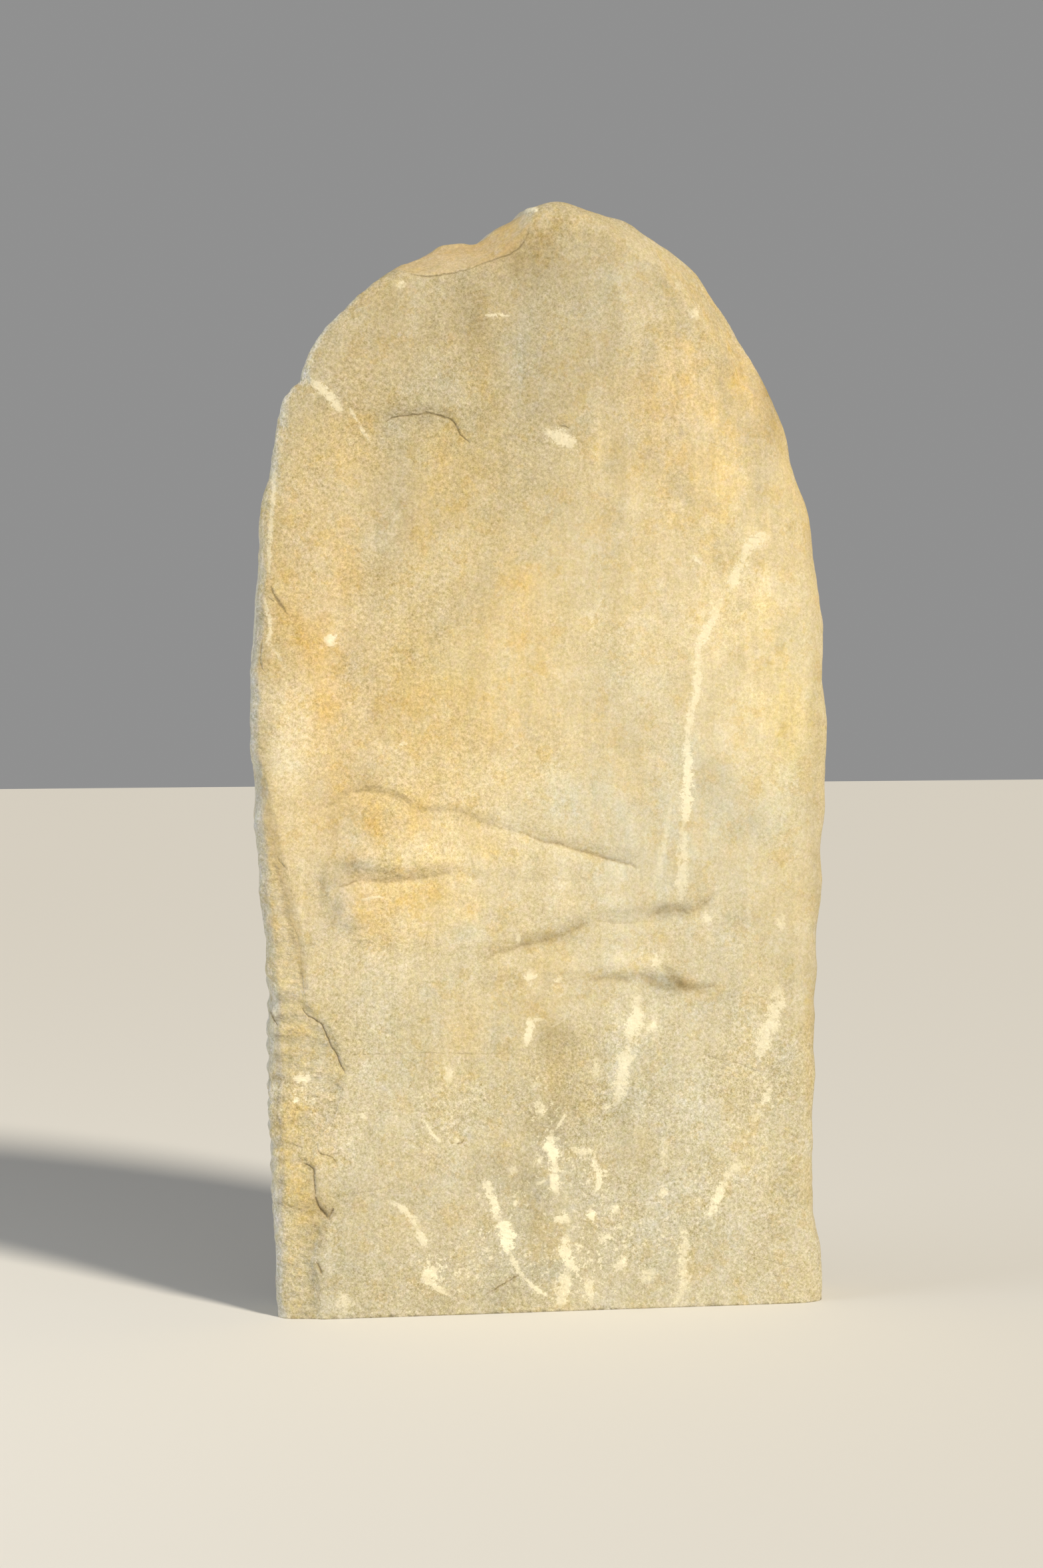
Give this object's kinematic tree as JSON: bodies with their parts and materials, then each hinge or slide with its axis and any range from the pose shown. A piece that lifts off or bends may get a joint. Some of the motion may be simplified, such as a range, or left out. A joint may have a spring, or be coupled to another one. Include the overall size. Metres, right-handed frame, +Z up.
{
  "type": "statue stele",
  "caption": "Upright slab of pale stone with a low gabled top, two daggers in very low relief across its face and a broken lower edge; stands on a flat base.",
  "frame": {"origin": "middle of the stone's box, on the flat base that stands on the ground", "axes": "+Z up the stone, the carved face towards -Y, +X to the right of someone who looks at the carved face"},
  "size_m": [0.7064, 0.132, 1.3449],
  "materials": {
    "stone": "rough, fine-grained, weathered: cream and ochre above, greyer towards the foot, with chalky white veins and scrapes"
  },
  "bodies": {
    "root": {"stele": "stone"}
  },
  "joints": []
}
